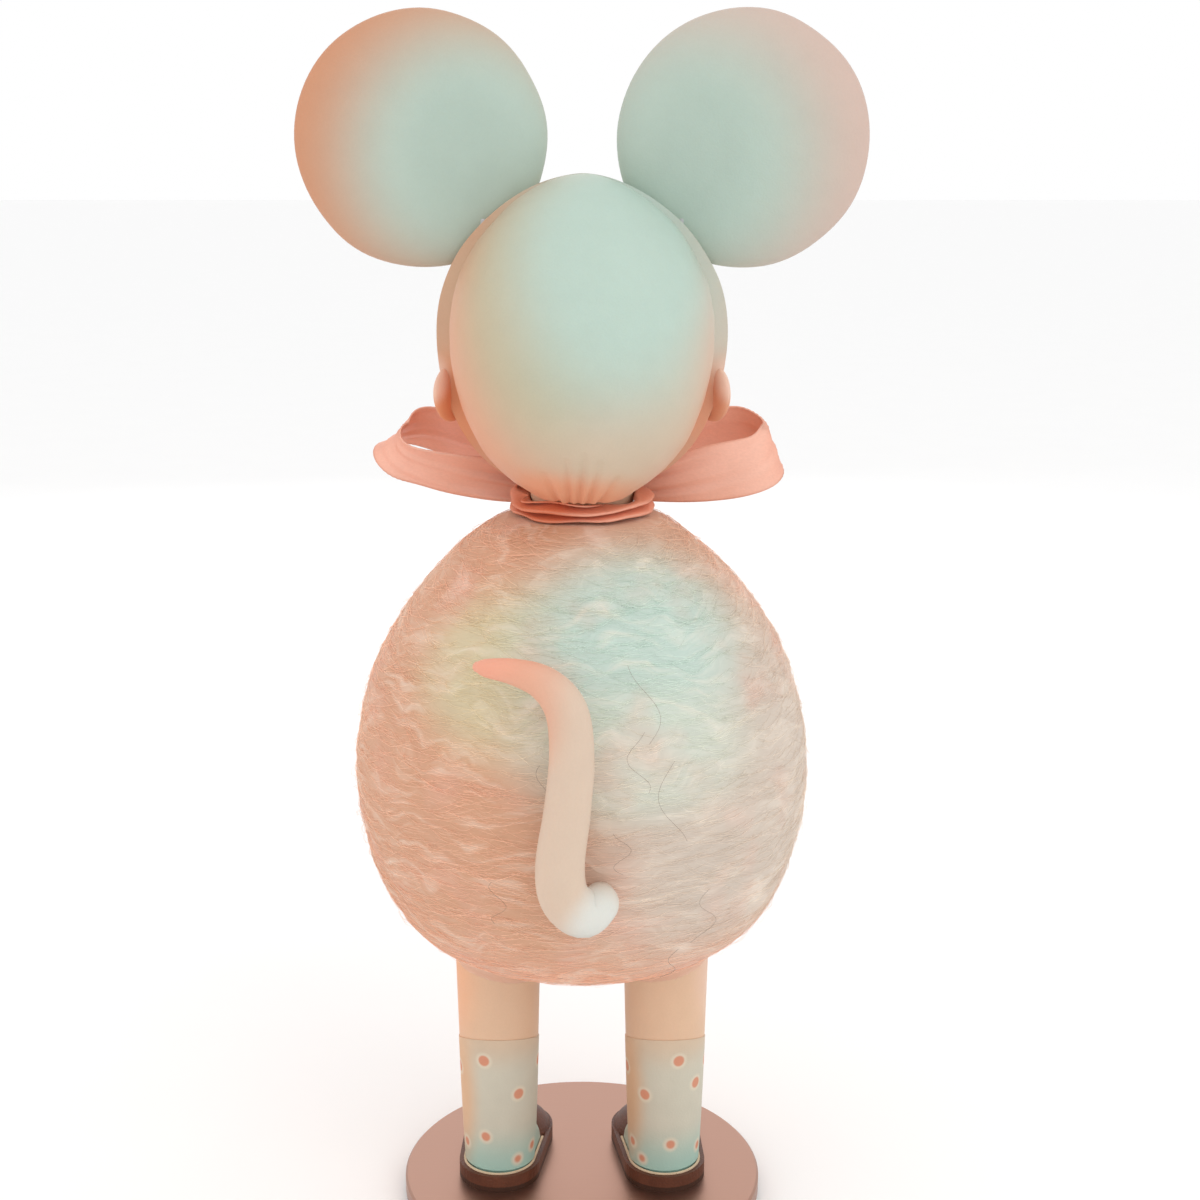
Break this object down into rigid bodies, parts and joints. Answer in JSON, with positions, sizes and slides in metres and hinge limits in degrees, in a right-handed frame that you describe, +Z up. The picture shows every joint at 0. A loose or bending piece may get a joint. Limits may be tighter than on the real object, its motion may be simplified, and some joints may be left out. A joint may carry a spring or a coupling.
{
  "type": "standing mouse doll",
  "caption": "Handmade standing mouse doll: turning clay head with round ears, felted wool egg body, satin bow, swinging tail and arms, legs bolted to a round metal plate.",
  "frame": {"origin": "centre of the underside of the felt pad below the round plate", "axes": "+Z up; the doll faces -Y, so its left side is at +X"},
  "size_m": [0.0986, 0.0998, 0.2202],
  "materials": {
    "felt_pad": "wool felt",
    "plate_metal": "fine brushed, rose tinted lacquer",
    "steel": "zinc plated",
    "leg_clay": "air-dry clay, matte airbrushed",
    "sock_clay": "painted clay with dots, matte",
    "sole_leather": "dyed sole leather",
    "shoe_lining": "soft cream lining leather",
    "shoe_leather": "smooth brown leather",
    "wood": "beech, unfinished",
    "papier_mache": "papier mache",
    "felted_wool": "needle-felted wool, pastel",
    "nylon": "moulded",
    "head_clay": "air-dry clay, matte airbrushed",
    "brass": "turned",
    "nose_clay": "painted clay",
    "eye_glass": "polished bead",
    "satin_ribbon": "woven satin",
    "tail_clay": "polymer clay, matte airbrushed"
  },
  "bodies": {
    "doll": {"base_pad": "felt_pad", "base_plate": "plate_metal", "foot_nuts": "steel", "foot_washers": "steel", "left_leg_rod": "steel", "right_leg_rod": "steel", "left_leg": "leg_clay", "right_leg": "leg_clay", "left_sock": "sock_clay", "right_sock": "sock_clay", "left_shoe_sole": "sole_leather", "right_shoe_sole": "sole_leather", "left_shoe_lining": "shoe_lining", "right_shoe_lining": "shoe_lining", "left_shoe_upper": "shoe_leather", "right_shoe_upper": "shoe_leather", "hip_block": "wood", "body_shell_lower": "papier_mache", "body_shell_upper": "papier_mache", "wool_coat": "felted_wool", "spine_dowel": "wood", "neck_stub": "leg_clay", "neck_washer": "nylon", "head_screw": "steel", "head_screw_washer": "steel", "ribbon_collar": "satin_ribbon", "ribbon_knot": "satin_ribbon", "left_bow_loop": "satin_ribbon", "right_bow_loop": "satin_ribbon", "left_bow_end": "satin_ribbon", "right_bow_end": "satin_ribbon", "tail_block": "wood", "left_arm_block": "wood", "right_arm_block": "wood"},
    "head": {"skull_back": "head_clay", "face_front": "head_clay", "neck_bush": "brass", "nose": "nose_clay", "left_eye": "eye_glass", "right_eye": "eye_glass", "left_ear": "head_clay", "right_ear": "head_clay", "left_ear_pin": "steel", "right_ear_pin": "steel", "left_side_ear": "head_clay", "right_side_ear": "head_clay"},
    "tail": {"tail": "tail_clay", "tail_peg": "wood"},
    "left_arm": {"left_arm": "leg_clay", "left_arm_peg": "wood"},
    "right_arm": {"right_arm": "leg_clay", "right_arm_peg": "wood"}
  },
  "joints": [
    {"name": "head_turn", "type": "hinge", "parent": "doll", "child": "head", "pos_m": [0, 0, 0.1381], "axis": [0, 0, 1], "range_deg": [-60, 60]},
    {"name": "tail_turn", "type": "hinge", "parent": "doll", "child": "tail", "pos_m": [-0.00284, 0.04056, 0.0765], "axis": [-0.0698, 0.9976, 0], "range_deg": [-15, 15]},
    {"name": "left_arm_swing", "type": "hinge", "parent": "doll", "child": "left_arm", "pos_m": [0.02188, -0.028, 0.111], "axis": [-0.5534, 0.7083, -0.4384], "range_deg": [-25, 15]},
    {"name": "right_arm_swing", "type": "hinge", "parent": "doll", "child": "right_arm", "pos_m": [-0.02188, -0.028, 0.111], "axis": [-0.5534, -0.7083, 0.4384], "range_deg": [-25, 15]}
  ]
}
